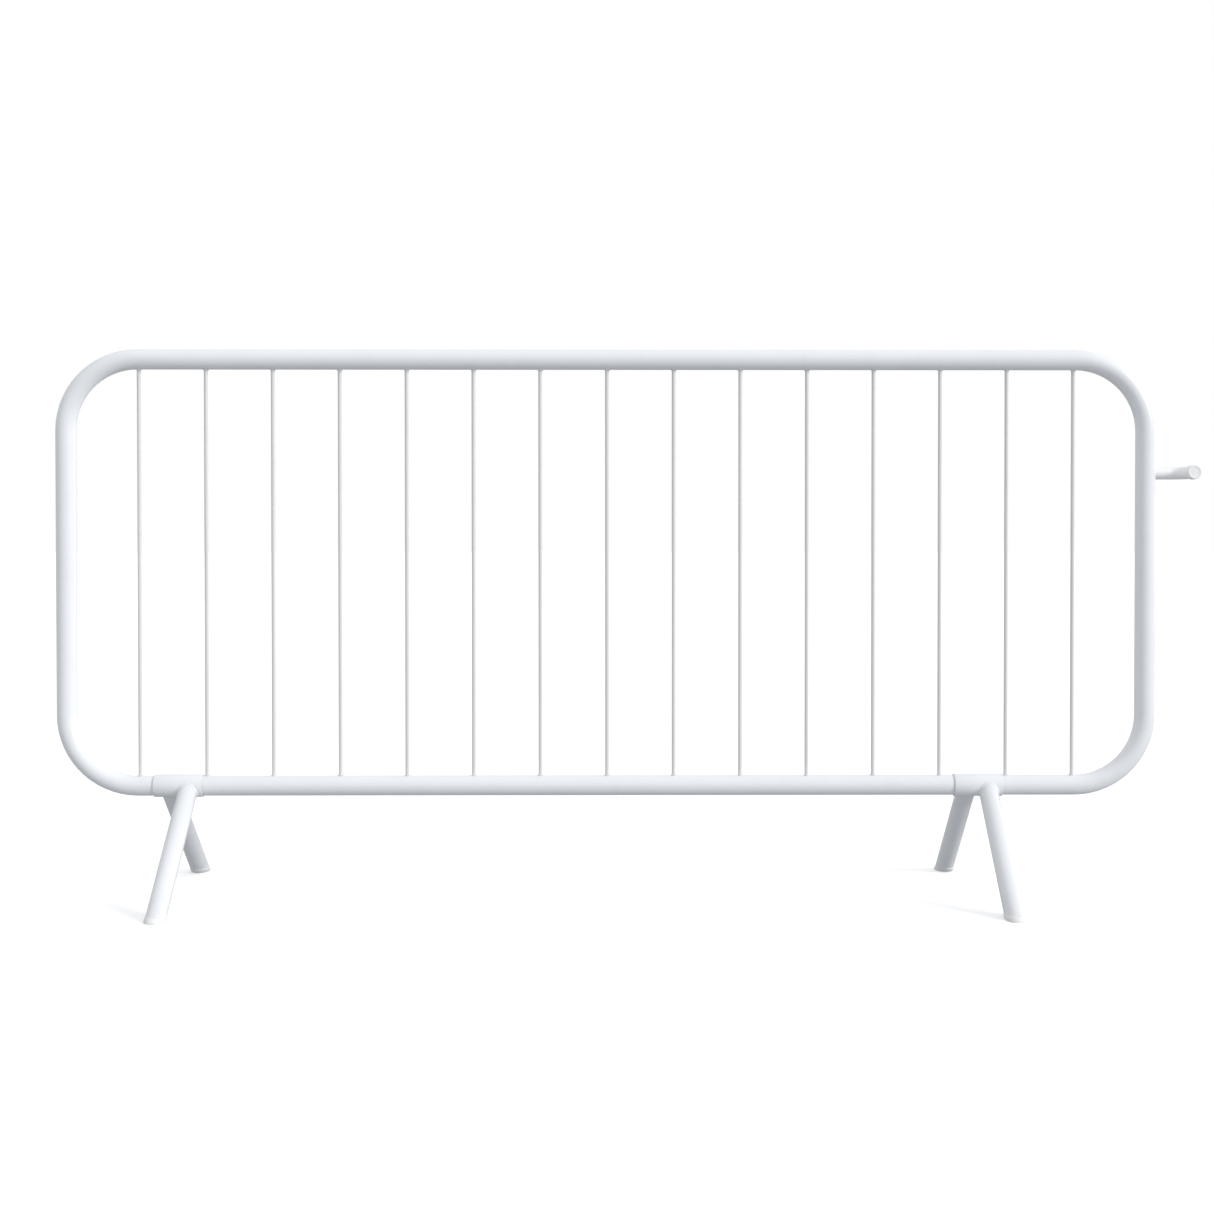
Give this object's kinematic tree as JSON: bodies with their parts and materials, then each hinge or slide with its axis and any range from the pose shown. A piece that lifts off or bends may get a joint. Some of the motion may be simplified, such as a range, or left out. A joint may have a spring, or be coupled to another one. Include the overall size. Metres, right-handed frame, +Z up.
{
  "type": "crowd control barrier",
  "caption": "Free-standing welded steel crowd barrier: bent round-tube frame with upright bars, splayed fixed legs with foot caps and a coupling hook at one end.",
  "frame": {"origin": "on the ground, at the middle of the overall length (hook included) and midway between the front and the rear feet", "axes": "+X along the barrier towards the hook, +Y towards the rear feet, +Z up; -Y is the front"},
  "size_m": [2.2826, 0.5866, 1.09],
  "materials": {
    "frame_tube": "gloss white powder coat on steel tube",
    "leg_tube": "gloss white powder coat on steel tube",
    "bar": "satin light grey powder coat on round steel bar",
    "hook_tube": "gloss white powder coat on bent steel tube",
    "weld_bead": "white powder coat over rippled weld beads",
    "end_cap": "fine-textured white moulded plastic"
  },
  "bodies": {
    "root": {"frame_bow": "frame_tube", "bottom_rail": "frame_tube", "leg_sleeve_left": "leg_tube", "leg_sleeve_right": "leg_tube", "leg_left_front": "leg_tube", "leg_left_rear": "leg_tube", "leg_right_front": "leg_tube", "leg_right_rear": "leg_tube", "foot_cap_left_front": "end_cap", "foot_cap_left_rear": "end_cap", "foot_cap_right_front": "end_cap", "foot_cap_right_rear": "end_cap", "coupling_hook": "hook_tube", "hook_cap": "end_cap", "bar_welds_top": "weld_bead", "bar_welds_bottom": "weld_bead", "sleeve_welds": "weld_bead", "leg_welds": "weld_bead", "hook_weld": "weld_bead", "bar_01": "bar", "bar_02": "bar", "bar_03": "bar", "bar_04": "bar", "bar_05": "bar", "bar_06": "bar", "bar_07": "bar", "bar_08": "bar", "bar_09": "bar", "bar_10": "bar", "bar_11": "bar", "bar_12": "bar", "bar_13": "bar", "bar_14": "bar", "bar_15": "bar"}
  },
  "joints": []
}
